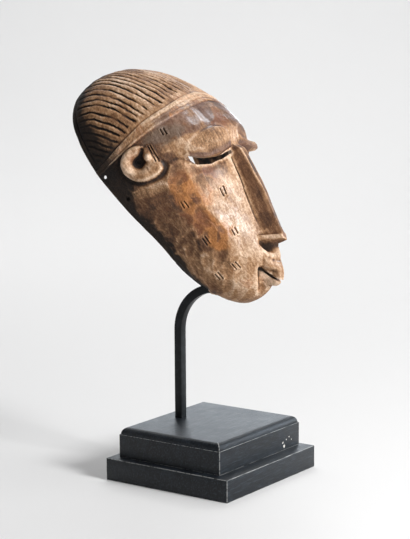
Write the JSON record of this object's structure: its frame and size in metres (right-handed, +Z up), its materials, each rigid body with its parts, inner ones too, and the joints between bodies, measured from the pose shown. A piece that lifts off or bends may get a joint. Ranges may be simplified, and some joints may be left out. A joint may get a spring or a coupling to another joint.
{
  "type": "carved wooden mask on a stand",
  "caption": "Long carved wooden face mask with hooded eyes, a narrow nose, ring ears and combed hair, leaning back on a bent square bar and a stepped black plinth.",
  "frame": {"origin": "centre of the plinth's underside", "axes": "+Z up, -Y the way the face looks, +X to the right of a viewer who faces the mask"},
  "size_m": [0.2012, 0.2581, 0.4694],
  "materials": {
    "carved_wood": "worn brown patina, polished by handling on the face and dark at the back and rim",
    "black_steel": "satin black",
    "black_wood": "satin black paint with the grain showing and small chips"
  },
  "bodies": {
    "root": {"mask": "carved_wood", "support_plate": "black_steel", "support_bar": "black_steel", "plinth_upper_block": "black_wood", "plinth_lower_board": "black_wood"}
  },
  "joints": []
}
